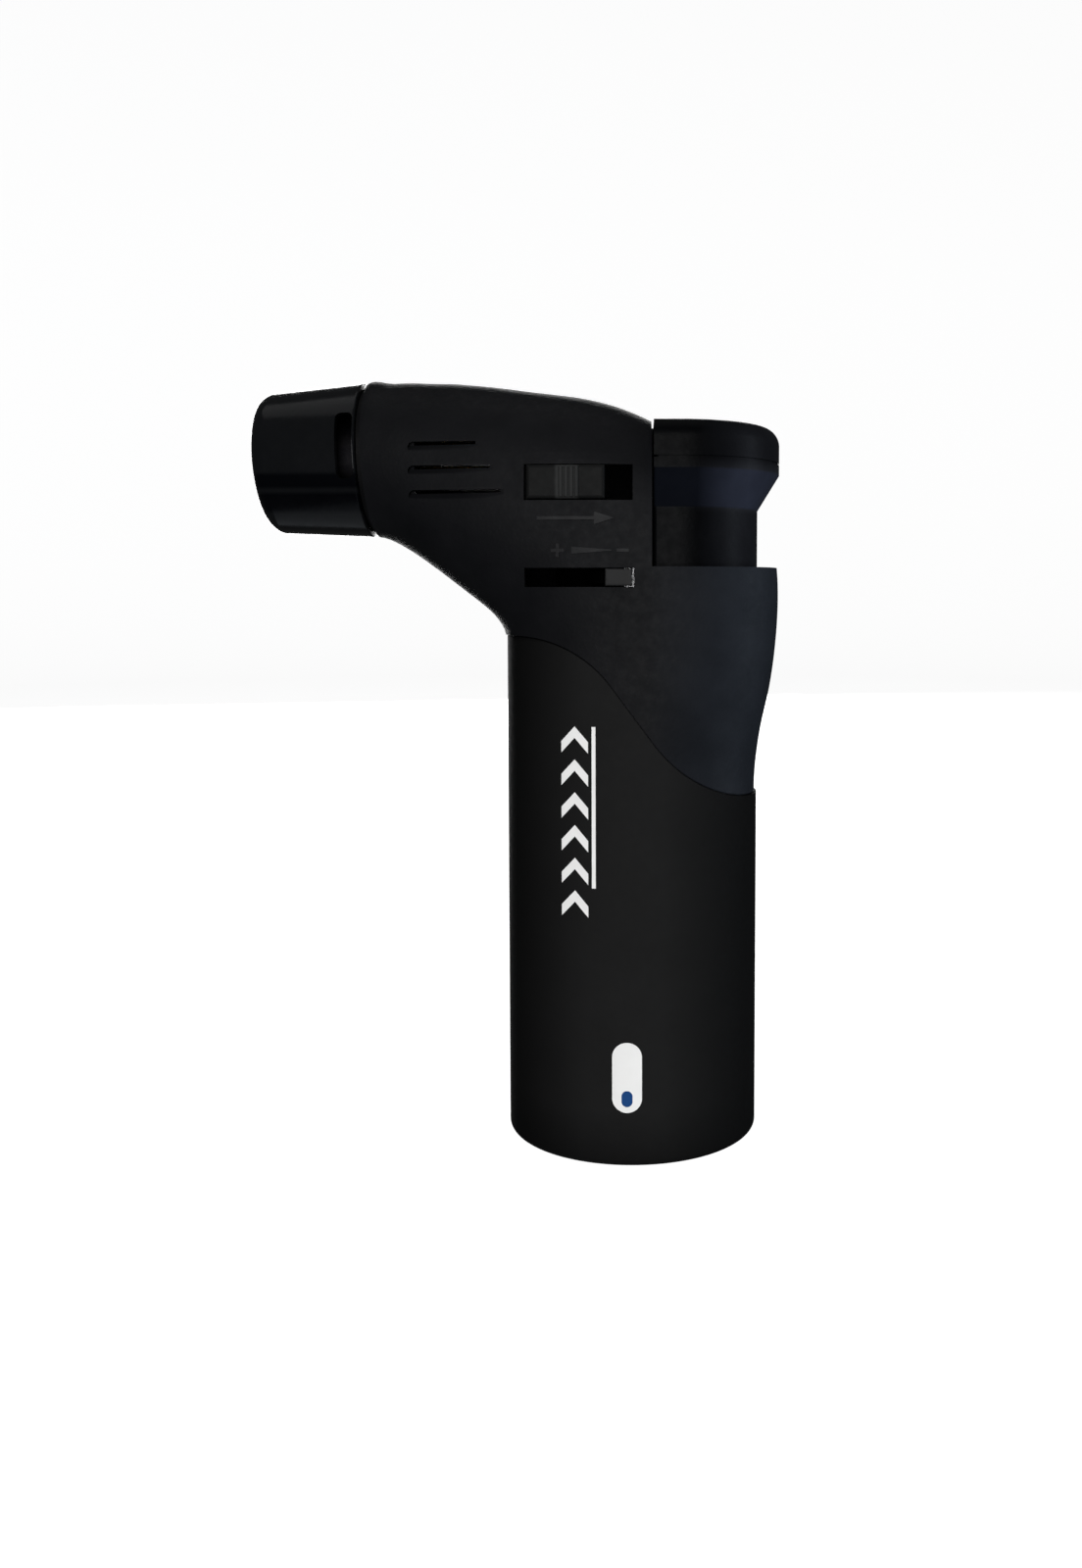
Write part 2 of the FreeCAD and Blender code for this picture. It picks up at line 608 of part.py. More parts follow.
# ---------------------------------------------------------------- igniter and button
def piezo_case():
    outer = box(PIEZO_X - PIEZO_LONG / 2, PIEZO_X + PIEZO_LONG / 2,
                -PIEZO_WIDE / 2, PIEZO_WIDE / 2, LID_TOP_Z + FIT, CASE_TOP_Z)
    inner = box(PIEZO_X - PIEZO_LONG / 2 + PIEZO_WALL, PIEZO_X + PIEZO_LONG / 2 - PIEZO_WALL,
                -PIEZO_WIDE / 2 + PIEZO_WALL, PIEZO_WIDE / 2 - PIEZO_WALL,
                CASE_FLOOR_Z, CASE_TOP_Z + 1)
    return outer.cut(inner)


def piezo_crystal():
    return rod_z(HAMMER_R, PIEZO_X, CASE_FLOOR_Z + 0.02, CASE_FLOOR_Z + 5)


def piezo_anvil():
    return rod_z(HAMMER_R, PIEZO_X, CASE_FLOOR_Z + 5.02, CASE_FLOOR_Z + 6.5)


def piezo_hammer():
    return rod_z(HAMMER_R, PIEZO_X, CASE_FLOOR_Z + 10, HAMMER_TOP_Z)


def piezo_return_spring():
    return coil(PIEZO_X, CASE_FLOOR_Z + FIT, PLUNGER_Z - FIT, 3.25, 0.3, 8)


def hammer_spring():
    return coil(PIEZO_X, HAMMER_TOP_Z + FIT, PLUNGER_Z + 10.95, 2.0, 0.3, 8)


def piezo_plunger():
    gap = PIEZO_WALL + SLIP
    plunger = box(PIEZO_X - PIEZO_LONG / 2 + gap, PIEZO_X + PIEZO_LONG / 2 - gap,
                  -PIEZO_WIDE / 2 + gap, PIEZO_WIDE / 2 - gap,
                  PLUNGER_Z, CAP_TOP_Z - BUTTON_WALL - FIT)
    return plunger.cut(rod_z(HAMMER_R + SLIP, PIEZO_X, PLUNGER_Z - 1, PLUNGER_Z + 11))


def button_body(inset, bottom_z):
    """The button's outside, or its hollow, from its stem up to its cap."""
    top = CAP_TOP_Z - inset
    stem = d_prism(STEM_X0 + inset, STEM_FLAT, STEM_X1 - inset, STEM_B - inset,
                   bottom_z, FLARE_Z0)
    low = d_wire(STEM_X0 + inset, STEM_FLAT, STEM_X1 - inset, STEM_B - inset, FLARE_Z0)
    high = d_wire(STEM_X0 + inset, CAP_FLAT, CAP_X1 - inset, CAP_B - inset, FLARE_Z1)
    flare = Part.makeLoft([low, high], True, True)
    cap = d_prism(STEM_X0 - 2 * CAP_ROUND, CAP_FLAT, CAP_X1 - inset, CAP_B - inset, FLARE_Z1, top)
    cap = rounded(cap, CAP_ROUND - inset, top)
    cap = cap.common(box(STEM_X0 + inset, FAR, -FAR, FAR, 0, FAR))
    return join(stem, flare, cap)


def ignition_button():
    button = button_body(0, BUTTON_BOTTOM_Z).cut(button_body(BUTTON_WALL, BUTTON_BOTTOM_Z - 1))
    button = button.cut(box(0, STEM_X0 + GUIDE_DEPTH + SLIP, -GUIDE_HALF - SLIP,
                            GUIDE_HALF + SLIP, 0, LIP_Z + 1))
    half, deep = 0.15, 0.25
    line = d_prism(0, CAP_FLAT, CAP_X1 + 1, CAP_B + 1, CAP_LINE_Z - half, CAP_LINE_Z + half)
    core = d_prism(STEM_X0 + deep, CAP_FLAT, CAP_X1 - deep, CAP_B - deep,
                   CAP_LINE_Z - 1, CAP_LINE_Z + 1)
    return button.cut(line.cut(core))


def gas_lever():
    """Cranked rocker: the button pushes its rear foot, its fork lifts the valve stem."""
    half = 2.0
    hub = rod_y(2.1, PIN_X, PIN_Z, -half, half)
    nose_x, nose_z, nose_r = VALVE_X, COLLAR_Z - 0.65, 0.55
    prong_y = 2.7
    bar = box(nose_x, nose_x + 3.2, -prong_y, prong_y, nose_z - 0.5, nose_z + 0.25)
    neck = box(nose_x + 2.6, PIN_X, -half, half, nose_z - 0.5, nose_z + 0.25)
    fork = join(bar, neck, rod_y(nose_r, nose_x, nose_z, -prong_y, prong_y))
    fork = fork.cut(box(nose_x - 2, nose_x + 2.6, -1.35, 1.35, nose_z - 2, nose_z + 2))
    leg = polygon_y([(PIN_X + 0.9, PIN_Z), (PIN_X + 2.7, PIN_Z - 1), (PIN_X + 2.7, PIN_Z - 8.8),
                     (5.3, PIN_Z - 11.65), (5.3, PIN_Z - 12.8), (0.0, PIN_Z - 10.9),
                     (PIN_X + 1.3, PIN_Z - 9), (PIN_X + 0.9, PIN_Z - 6.4)], -half, half)
    lever = join(hub, fork, leg)
    return lever.cut(rod_y(PIN_R + FIT, PIN_X, PIN_Z, -5, 5))


def lever_pin():
    return rod_y(PIN_R, PIN_X, PIN_Z, -8, 8)


# ---------------------------------------------------------------- head shells
def head_whole(envelope):
    """Both shells in one: walls, rear face, ledge and hidden skirt."""
    pocket = box(BACK_X, FAR, -FAR, FAR, SHELF_Z, FAR)
    lip = box(LIP_X, FAR, -FAR, FAR, LIP_Z, FAR)
    outside = envelope.common(seam_side(above=True, gap=SEAM_GAP)).cut(pocket).cut(lip)
    skirt = ellipse_prism(SKIRT_A, SKIRT_B, SKIRT_Z, SKIRT_TOP_Z)
    behind = box(BACK_X - WALL, FAR, -FAR, FAR, SHELF_Z - WALL, FAR)
    lower_room = ellipse_prism(SKIRT_A - SKIRT_T, SKIRT_B - SKIRT_T, SKIRT_Z - 1, SKIRT_Z + 12)
    room = head_loft(WALL).fuse(lower_room)
    opening = d_prism(STEM_X0 - CLEAR, STEM_FLAT, STEM_X1 + CLEAR, STEM_B + CLEAR,
                      SHELF_Z - WALL - 1, SHELF_Z + 1)
    head = join(outside, skirt).cut(room.cut(behind)).cut(opening)
    return head.fuse(box(LIP_X - WALL, STEM_X0 + GUIDE_DEPTH, -GUIDE_HALF, GUIDE_HALF,
                         SHELF_Z - WALL, CAP_TOP_Z))


def vent(top_z, end_x, envelope):
    """Louvre groove on the -Y side: a slit under its top edge and a ramp below it."""
    mid_z = top_z - VENT_H / 2
    start_y = -flank_y(envelope, VENT_X0, mid_z)
    end_y = -flank_y(envelope, end_x, mid_z)
    wedge_at = []
    for x, y, depth in ((VENT_X0 - 1, start_y, VENT_DEPTH), (end_x, end_y, 0.1)):
        corners = [V(x, y - 2, top_z), V(x, y + depth, top_z),
                   V(x, y + depth, top_z - VENT_SLIT), V(x, y - 0.4, top_z - VENT_H),
                   V(x, y - 2, top_z - VENT_H)]
        wedge_at.append(Part.makePolygon(corners + corners[:1]))
    wedge = Part.makeLoft(wedge_at, True, True)
    radius = VENT_H / 2
    outline = join(box(VENT_X0 + radius, end_x, -FAR, 0, mid_z - radius, top_z),
                   rod_y(radius, VENT_X0 + radius, mid_z, -FAR, 0))
    reach = VENT_X0 + (end_x - VENT_X0) * 0.96
    slit = box(VENT_X0 + radius, reach, -FAR, 0, top_z - VENT_SLIT, top_z)
    return wedge.common(outline).fuse(slit)


def boss(x, z, envelope):
    """Screw post across the head, trimmed to the head's outside."""
    return rod_y(BOSS_R, x, z, -FAR, FAR).common(envelope)


def shells():
    """Left (-Y) and right (+Y) shell."""
    envelope = head_loft()
    whole = head_whole(envelope)
    below_top = box(-FAR, FAR, -FAR, FAR, SHELF_Z - 40, FAR)
    rest = envelope.cut(box(BACK_X, FAR, -FAR, FAR, SHELF_Z, FAR)).common(below_top)
    for x, z in SCREW_SPOTS:
        whole = whole.fuse(boss(x, z, rest))
    pivot = rod_y(2.4, PIN_X, PIN_Z, -FAR, FAR).common(rest)
    pivot = pivot.cut(box(-FAR, FAR, -2.25, 2.25, 0, FAR))
    whole = whole.fuse(pivot).cut(rod_y(PIN_R + FIT, PIN_X, PIN_Z, -8.1, 8.1))
    for top_z, end_x in VENTS:
        groove = vent(top_z, end_x, envelope)
        whole = whole.cut(groove).cut(groove.mirror(ORIGIN, Y_AXIS))
    for x, z in SCREW_SPOTS:
        seat = flank_y(envelope, x, z) - SCREW_HEAD_H - 0.6
        whole = whole.cut(rod_y(SCREW_R + FIT, x, z, -SCREW_REACH - 0.2, FAR))
        whole = whole.cut(rod_y(SCREW_HEAD_R + SLIP, x, z, seat, FAR))
    left = whole.common(box(-FAR, FAR, -FAR, 0, 0, FAR))
    right = whole.common(box(-FAR, FAR, 0, FAR, 0, FAR))
    left = left.cut(box(LOCK_X0, LOCK_X1, -FAR, -10, LOCK_Z0, LOCK_Z1))
    left = left.cut(box(VALVE_X - FLAME_HALF, VALVE_X + FLAME_HALF, -FAR, -10,
                        FLAME_Z0, FLAME_Z1))
    rails = join(box(-18.5, 0.5, -FAR, -11.5, LOCK_Z0 - 2.8, LOCK_Z0 - 1.7),
                 box(-18.5, 0.5, -FAR, -11.5, LOCK_Z1 + 0.7, LOCK_Z1 + 1.8))
    left = left.fuse(rails.common(envelope))
    return left, right


def shell_screws():
    """Three self-tapping screws, put in from the +Y side."""
    envelope = head_loft()
    screws = []
    for x, z in SCREW_SPOTS:
        seat = flank_y(envelope, x, z) - SCREW_HEAD_H - 0.6
        screw = join(rod_y(SCREW_R, x, z, -SCREW_REACH, seat + 0.5),
                     rod_y(SCREW_HEAD_R, x, z, seat + FIT, seat + SCREW_HEAD_H))
        cross = join(box(x - 1.1, x + 1.1, seat + 0.7, FAR, z - 0.25, z + 0.25),
                     box(x - 0.25, x + 0.25, seat + 0.7, FAR, z - 1.1, z + 1.1))
        screws.append(screw.cut(cross))
    return Part.makeCompound(screws)


def lock_slider():
    """Slide plate behind the wall with its ribbed knob in the window."""
    plate = box(LOCK_X0 - 2, LOCK_KNOB_X1 - 0.3, -12.3, -11.3, LOCK_Z0 - 1.45, LOCK_Z1 + 0.4)
    z0, z1 = LOCK_Z0 + SLIP, LOCK_Z1 - SLIP
    x0 = LOCK_X0 + 0.4
    outline = [V(x0, -12, z0), V(x0, -16.7, z0), V(LOCK_KNOB_X1, -17.1, z0),
               V(LOCK_KNOB_X1, -12, z0)]
    knob = Part.Face(Part.makePolygon(outline + outline[:1])).extrude(V(0, 0, z1 - z0))
    knob = knob.makeFillet(0.5, [e for e in knob.Edges if e.BoundBox.YMax < -16.6])
    ribs = [rod_z(0.36, x0 + 5.2 + 0.8 * i, z0 + 0.3, z1 - 0.3, -16.85 - 0.03 * i)
            for i in range(4)]
    return join(plate, knob, *ribs)


def lock_detent_spring():
    """Bowed strip that presses the slider's plate against the wall."""
    z = LOCK_Z0 + 1.4
    points = [V(-17, -9.8, z), V(-11, -11.25, z), V(-5, -9.8, z)]
    arc = Part.Arc(*points).toShape()
    inner = Part.Arc(*[p + V(0, 0.3, 0) for p in points]).toShape()
    ends = [Part.makeLine(points[2], points[2] + V(0, 0.3, 0)),
            Part.makeLine(points[0] + V(0, 0.3, 0), points[0])]
    return Part.Face(Part.Wire([arc, ends[0], inner, ends[1]])).extrude(V(0, 0, 2.6))


PIECES = (tank_sleeve, tank_shell, tank_lid, refill_valve_body, refill_valve_stem,
          refill_valve_seal, refill_valve_spring, refill_o_ring, outlet_valve_body,
          outlet_valve_stem, outlet_valve_seal, outlet_valve_spring, flow_filter, wick,
          flame_lever, gas_hose, jet_holder, jet_orifice, mixing_tube, burner_tube,
          flame_holder, burner_flange, nozzle_guard, electrode, electrode_insulator,
          ignition_wire, piezo_case, piezo_crystal, piezo_anvil, piezo_hammer,
          piezo_return_spring, hammer_spring, piezo_plunger, ignition_button, gas_lever,
          lever_pin, shell_screws, lock_slider, lock_detent_spring)


def main():
    os.makedirs("parts", exist_ok=True)
    for piece in PIECES:
        piece().exportStep("parts/" + piece.__name__ + ".step")
    left, right = shells()
    left.exportStep("parts/left_shell.step")
    right.exportStep("parts/right_shell.step")


main()
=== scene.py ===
import json
import math

import bmesh
import bpy
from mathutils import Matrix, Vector
from mathutils.bvhtree import BVHTree


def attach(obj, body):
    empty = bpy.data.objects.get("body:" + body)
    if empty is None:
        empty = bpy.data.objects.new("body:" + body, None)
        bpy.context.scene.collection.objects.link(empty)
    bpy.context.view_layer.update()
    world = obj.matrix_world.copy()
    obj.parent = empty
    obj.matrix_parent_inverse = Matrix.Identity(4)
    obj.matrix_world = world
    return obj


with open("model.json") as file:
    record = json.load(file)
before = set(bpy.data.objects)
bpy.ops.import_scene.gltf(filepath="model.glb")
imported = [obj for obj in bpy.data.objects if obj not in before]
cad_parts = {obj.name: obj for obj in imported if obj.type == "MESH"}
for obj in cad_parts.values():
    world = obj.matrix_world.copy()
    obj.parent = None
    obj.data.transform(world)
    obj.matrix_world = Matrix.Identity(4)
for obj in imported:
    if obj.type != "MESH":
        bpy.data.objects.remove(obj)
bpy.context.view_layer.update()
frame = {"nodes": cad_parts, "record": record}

MM = 0.001
NODES = frame["nodes"]

# positions on the object, in metres unless a name says mm
WHITE = (1, 1, 1)
FLARE_Z = 104.65 * MM
FLARE_HALF = 2.7 * MM
RIDGES_X = -9.7 * MM
RIDGES_HALF = 1.5 * MM
# heights and half widths of the two painted dark reflection bands on the guard
GUARD_REFLECTION_BANDS = ((105.9 * MM, 0.8 * MM), (102.7 * MM, 1.1 * MM))
KNOB_ROOT_Y = -14 * MM

PRINT_HEIGHT = 0.04 * MM
DOT_HEIGHT = 0.09 * MM
RELIEF_HEIGHT = 0.22 * MM
CHEVRON_COUNT = 6
CHEVRON_X_MM = (-10.75, -6.6)
CHEVRON_Z_MM = 38.9
CHEVRON_PITCH_MM = 5.06
CHEVRON_TALL_MM = 4.1
CHEVRON_ARM_MM = 1.75
RULE_MM = (-6.05, -5.45, 43.5, 68.3)
PILL_MM = (-0.7, 14.2, 2.3, 5.5)
DOT_MM = (-0.7, 10.9, 0.85, 1.25)

FLOOR_FLAT = 1.1
FLOOR_BEND = 0.5
FLOOR_TOP = 1.6
FLOOR_INNER = 0.3
FLOOR_SIDES = 96
FLOOR_STEPS = 12

CAMERA_PLACE = (0.0016, -0.200, 0.0888)
CAMERA_PITCH = 3.3
CAMERA_LENS = 27.9
CAMERA_SHIFT = (-0.0644, -0.078)

# ------------------------------------------------------------ material kit
class Paint:
    """One node material: a principled shader with object-space detail."""

    # the colour sockets of a mix node, which share their names with its other sockets
    MIX_A, MIX_B, MIX_OUT = 6, 7, 2

    def __init__(self, name):
        self.material = bpy.data.materials.new(name)
        self.material.use_nodes = True
        self.tree = self.material.node_tree
        self.shader = self.tree.nodes["Principled BSDF"]
        self.place = self.add("ShaderNodeTexCoord").outputs["Object"]

    def add(self, kind, **values):
        """New node, with each value set as a property or on the input of that name."""
        node = self.tree.nodes.new(kind)
        for key, value in values.items():
            if hasattr(node, key):
                setattr(node, key, value)
            else:
                node.inputs[key.replace("_", " ")].default_value = value
        return node

    def link(self, out, into):
        self.tree.links.new(out, into)

    def set(self, **values):
        for key, value in values.items():
            self.shader.inputs[key.replace("_", " ")].default_value = value

    def noise(self, scale, detail, stretch=(1, 1, 1), rough=0.55):
        place = self.add("ShaderNodeMapping")
        place.inputs["Scale"].default_value = stretch
        self.link(self.place, place.inputs["Vector"])
        node = self.add("ShaderNodeTexNoise", Scale=scale, Detail=detail, Roughness=rough)
        self.link(place.outputs["Vector"], node.inputs["Vector"])
        return node.outputs["Fac"]

    def cells(self, scale):
        node = self.add("ShaderNodeTexVoronoi", Scale=scale)
        self.link(self.place, node.inputs["Vector"])
        return node.outputs["Distance"]

    def ramp(self, value, low, high, start=0.3, end=0.7):
        node = self.add("ShaderNodeMapRange")
        node.inputs["From Min"].default_value = start
        node.inputs["From Max"].default_value = end
        node.inputs["To Min"].default_value = low
        node.inputs["To Max"].default_value = high
        self.link(value, node.inputs["Value"])
        return node.outputs["Result"]

    def blend(self, factor, low, high):
        """Colour that goes from low to high as the factor goes from 0 to 1."""
        node = self.add("ShaderNodeMix", data_type="RGBA")
        self.link(factor, node.inputs["Factor"])
        node.inputs[self.MIX_A].default_value = (*low, 1)
        node.inputs[self.MIX_B].default_value = (*high, 1)
        return node.outputs[self.MIX_OUT]

    def colour(self, value, dark, light):
        self.link(self.blend(self.ramp(value, 0.0, 1.0), dark, light),
                  self.shader.inputs["Base Color"])

    def rough(self, value, low, high):
        self.link(self.ramp(value, low, high), self.shader.inputs["Roughness"])

    def along(self, axis):
        """Object-space coordinate along one axis, in metres."""
        node = self.add("ShaderNodeSeparateXYZ")
        self.link(self.place, node.inputs[0])
        return node.outputs[axis]

    def away_from(self, value, middle):
        """Distance of a coordinate from its middle."""
        node = self.add("ShaderNodeMath", operation="SUBTRACT")
        node.inputs[1].default_value = middle
        self.link(value, node.inputs[0])
        size = self.add("ShaderNodeMath", operation="ABSOLUTE")
        self.link(node.outputs[0], size.inputs[0])
        return size.outputs[0]

    def shade(self, value, low, high, start, end):
        """Multiplies the base colour by one that goes from low to high with a value."""
        socket = self.shader.inputs["Base Color"]
        node = self.add("ShaderNodeMix", data_type="RGBA", blend_type="MULTIPLY")
        node.inputs["Factor"].default_value = 1.0
        factor = self.ramp(value, 0.0, 1.0, start, end)
        self.link(socket.links[0].from_socket, node.inputs[self.MIX_A])
        self.link(self.blend(factor, low, high), node.inputs[self.MIX_B])
        self.link(node.outputs[self.MIX_OUT], socket)

    def bump(self, value, depth, strength):
        """Adds relief on top of any that is there."""
        node = self.add("ShaderNodeBump", Strength=strength, Distance=depth)
        self.link(value, node.inputs["Height"])
        if self.shader.inputs["Normal"].links:
            self.link(self.shader.inputs["Normal"].links[0].from_socket, node.inputs["Normal"])
        self.link(node.outputs["Normal"], self.shader.inputs["Normal"])


def black_paint(name, dark, light, low, high, grain, gloss):
    """Black finish: two close tones, uneven roughness and a fine grain."""
    p = Paint(name)
    p.set(Specular_IOR_Level=gloss)
    p.colour(p.noise(150, 5), dark, light)
    p.rough(p.noise(800, 3), low, high)
    p.bump(p.noise(2400, 6, rough=0.7), 0.00005, grain)
    p.bump(p.cells(1500), 0.00005, grain * 0.7)
    return p


def metal_paint(name, dark, light, low, high):
    """Bare metal with a fine lay round its axis."""
    stretch = (1, 1, 12)
    p = Paint(name)
    p.set(Metallic=1.0)
    p.colour(p.noise(500, 4), dark, light)
    p.rough(p.noise(1600, 4, stretch), low, high)
    p.bump(p.noise(2500, 3, stretch), 0.00001, 0.3)
    return p.material


def plastic_paint(name, dark, light, low, high, **values):
    """Plain moulding, rubber, ceramic or print, with further shader values by name."""
    p = Paint(name)
    p.set(**values)
    p.colour(p.noise(180, 4), dark, light)
    p.rough(p.noise(800, 3), low, high)
    p.bump(p.noise(1800, 4), 0.00003, 0.3)
    return p.material


def housing_paint():
    """Grained moulding with painted light that makes it a little lighter and bluer towards the
    back.
    """
    p = black_paint("housing_grain", (0.0044, 0.0046, 0.0054), (0.0064, 0.0066, 0.0076),
                    0.46, 0.6, 0.5, 0.05)
    # painted light: the back of the head lighter and bluer, as if lit by the cool right lamp
    p.shade(p.along(0), WHITE, (2.9, 3.35, 3.8), 2 * MM, 21 * MM)
    return p.material


def sleeve_paint():
    """Satin black spray paint with painted shade, darker along the two ends of the oval and at the
    base.
    """
    p = black_paint("sleeve_satin", (0.0085, 0.0085, 0.0086), (0.0098, 0.0098, 0.0099),
                    0.72, 0.78, 0.12, 0.09)
    # painted shade: darker towards both ends of the oval, where the sides turn away from the front
    # lamp
    p.shade(p.away_from(p.along(0), -1 * MM), WHITE, (0.16, 0.16, 0.16), 6 * MM, 19 * MM)
    # painted shade: darker towards the base
    p.shade(p.along(2), (0.3, 0.3, 0.3), WHITE, 0.0, 9 * MM)
    return p.material


def button_paint():
    """Satin black moulding with painted light: a bluer, lighter flare and a paler back as painted
    highlights, and a darker cap and stem as painted shade.
    """
    p = black_paint("button_satin", (0.0022, 0.0024, 0.003), (0.003, 0.0033, 0.0041),
                    0.32, 0.44, 0.3, 0.02)
    # painted highlight: the flare lighter and bluer, as if lit from below
    p.shade(p.away_from(p.along(2), FLARE_Z), (1.6, 1.75, 2.2), WHITE, FLARE_HALF, 3.0 * MM)
    # painted highlight: lighter towards the back, as if lit from the right
    p.shade(p.along(0), WHITE, (6.5, 6.3, 6.2), 10 * MM, 18 * MM)
    # painted shade: the stem darker
    p.shade(p.along(2), (0.6, 0.6, 0.6), WHITE, 101 * MM, 102 * MM)
    # painted shade: the top of the cap darker
    p.shade(p.along(2), WHITE, (0.45, 0.45, 0.45), 107.5 * MM, 109 * MM)
    return p.material


def slider_paint():
    """Satin grey moulding, with a painted highlight making its middle ridges paler."""
    p = black_paint("slider_satin", (0.0062, 0.0064, 0.0064), (0.0082, 0.0084, 0.0084),
                    0.42, 0.54, 0.3, 0.03)
    # painted highlight: the middle ridges paler, as if catching the light
    p.shade(p.away_from(p.along(0), RIDGES_X), (3.2, 3.2, 3.2), WHITE, RIDGES_HALF, 1.9 * MM)
    return p.material


def guard_paint():
    """Gloss black lacquer with two painted dark reflection bands along its lower side."""
    p = black_paint("guard_lacquer", (0.0046, 0.005, 0.0056), (0.006, 0.0064, 0.0072),
                    0.12, 0.2, 0.05, 0.085)
    # painted reflection: two dark bands where the lacquer mirrors darker surroundings
    for height, half in GUARD_REFLECTION_BANDS:
        near = p.away_from(p.along(2), height)
        p.shade(near, (0.2, 0.22, 0.3), WHITE, half, half + 0.6 * MM)
    return p.material


def knob_paint():
    """Matt grey knob on a lever painted black as painted shade where it runs inside the head."""
    p = black_paint("flame_knob_grey", (0.028, 0.028, 0.0283), (0.036, 0.036, 0.0363),
                    0.85, 0.95, 0.3, 0.02)
    # painted shade: the lever black where it runs inside the head
    p.shade(p.along(1), WHITE, (0.01, 0.01, 0.01), KNOB_ROOT_Y - 1 * MM, KNOB_ROOT_Y)
    return p.material


PAINTS = {
    "housing_black": housing_paint(),
    "sleeve_paint": sleeve_paint(),
    "guard_gloss": guard_paint(),
    "button_plastic": button_paint(),
    "slider_grey": slider_paint(),
    "brass": metal_paint("turned_brass", (0.5, 0.33, 0.12), (0.72, 0.52, 0.24), 0.2, 0.38),
    "steel": metal_paint("bright_steel", (0.36, 0.36, 0.37), (0.56, 0.56, 0.57), 0.2, 0.36),
    "flange_metal": metal_paint("blackened_ring", (0.02, 0.02, 0.022), (0.035, 0.035, 0.037),
                                0.32, 0.45),
    "tank_plastic": plastic_paint("tank_resin", (0.36, 0.32, 0.24), (0.46, 0.42, 0.33), 0.22, 0.34),
    "case_plastic": plastic_paint("igniter_case", (0.36, 0.36, 0.34), (0.46, 0.46, 0.44),
                                  0.3, 0.42),
    "rubber": plastic_paint("valve_rubber", (0.012, 0.012, 0.012), (0.02, 0.02, 0.02), 0.6, 0.8),
    "ceramic_white": plastic_paint("white_ceramic", (0.66, 0.63, 0.56), (0.8, 0.78, 0.72),
                                   0.4, 0.6),
    "ceramic_grey": plastic_paint("grey_ceramic", (0.2, 0.19, 0.17), (0.3, 0.28, 0.25), 0.45, 0.65),
    "wire_insulation": plastic_paint("black_insulation", (0.004, 0.004, 0.0045),
                                     (0.008, 0.008, 0.009), 0.4, 0.52),
    "hose_clear": plastic_paint("silicone_hose", (0.45, 0.42, 0.35), (0.58, 0.55, 0.48), 0.34, 0.5),
    "filter_felt": plastic_paint("wick_felt", (0.5, 0.48, 0.42), (0.72, 0.7, 0.64), 0.8, 0.95),
}

NODE_PAINTS = {
    "flame_lever": knob_paint(),
    "burner_tube": metal_paint("heat_blackened_steel", (0.004, 0.004, 0.005),
                               (0.009, 0.0085, 0.009), 0.5, 0.65),
    # painted shade: the burner flange near-black where it shows through the guard's slot
    "burner_flange": black_paint("ring_black", (0.002, 0.002, 0.0022),
                                 (0.004, 0.004, 0.0042), 0.5, 0.65, 0.3, 0.05).material,
}


def paint_frame():
    """Every CAD node takes the detailed material of its slot, or one of its own."""
    slots = {s["node"]: s["material_slot"] for s in frame["record"]["subparts"]}
    for name, node in NODES.items():
        node.data.materials.clear()
        node.data.materials.append(NODE_PAINTS.get(name, PAINTS[slots[name]]))


# ------------------------------------------------------------ printed and raised marks
def surface_of(names):
    """Ray-castable copy of some CAD nodes, in world space."""
    points, faces = [], []
    for name in names:
        node = NODES[name]
        base = len(points)
        points += [node.matrix_world @ v.co for v in node.data.vertices]
        faces += [[base + i for i in face.vertices] for face in node.data.polygons]
    return BVHTree.FromPolygons(points, faces)


def on_surface(tree, x, z, lift):
    """Point of the -Y side at x and z, lifted along its normal."""
    outside = -0.1
    hit, normal, _, _ = tree.ray_cast(Vector((x, outside, z)), Vector((0, 1, 0)))
    return hit + normal * lift


def mark(name, outlines, tree, height, material, sink=0.03 * MM, step=0.45 * MM):
    """Flat outlines in X and Z, in mm, laid on the surface as a thin raised solid."""
    bm = bmesh.new()
    for outline in outlines:
        bm.faces.new([bm.verts.new((x * MM, 0, z * MM)) for x, z in outline])
    for axis in (0, 2):
        values = [v.co[axis] for v in bm.verts]
        cut = math.floor(min(values) / step) * step + step
        while cut < max(values):
            spot, normal = Vector((0, 0, 0)), Vector((0, 0, 0))
            spot[axis], normal[axis] = cut, 1
            parts = list(bm.verts) + list(bm.edges) + list(bm.faces)
            bmesh.ops.bisect_plane(bm, geom=parts, plane_co=spot, plane_no=normal)
            cut += step
    top = bmesh.ops.extrude_face_region(bm, geom=list(bm.faces))["geom"]
    raised = {v for v in top if isinstance(v, bmesh.types.BMVert)}
    for vert in bm.verts:
        lift = height if vert in raised else -sink
        vert.co = on_surface(tree, vert.co.x, vert.co.z, lift)
    bmesh.ops.recalc_face_normals(bm, faces=bm.faces)
    mesh = bpy.data.meshes.new(name)
    bm.to_mesh(mesh)
    bm.free()
    piece = bpy.data.objects.new(name, mesh)
    bpy.context.scene.collection.objects.link(piece)
    mesh.materials.append(material)
    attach(piece, "torch")


def chevron(x0, x1, z0, z1, arm):
    """Upward chevron, drawn in two halves."""
    mid = (x0 + x1) / 2
    rise = (z1 - z0) - arm
    return [[(x0, z0), (mid, z0 + rise), (mid, z1), (x0, z0 + arm)],
            [(mid, z0 + rise), (x1, z0), (x1, z0 + arm), (mid, z1)]]


def pill(x, z, half_x, half_z):
    """Upright outline with round ends."""
    sides = 40
    straight = half_z - half_x
    points = []
    for i in range(sides):
        turn = 2 * math.pi * (i + 0.5) / sides
        shift = straight if math.sin(turn) > 0 else -straight
        points.append((x + half_x * math.cos(turn), z + shift + half_x * math.sin(turn)))
    return points


def bar(x0, x1, z0, z1):
    """Upright rectangle."""
    return [(x0, z0), (x1, z0), (x1, z1), (x0, z1)]


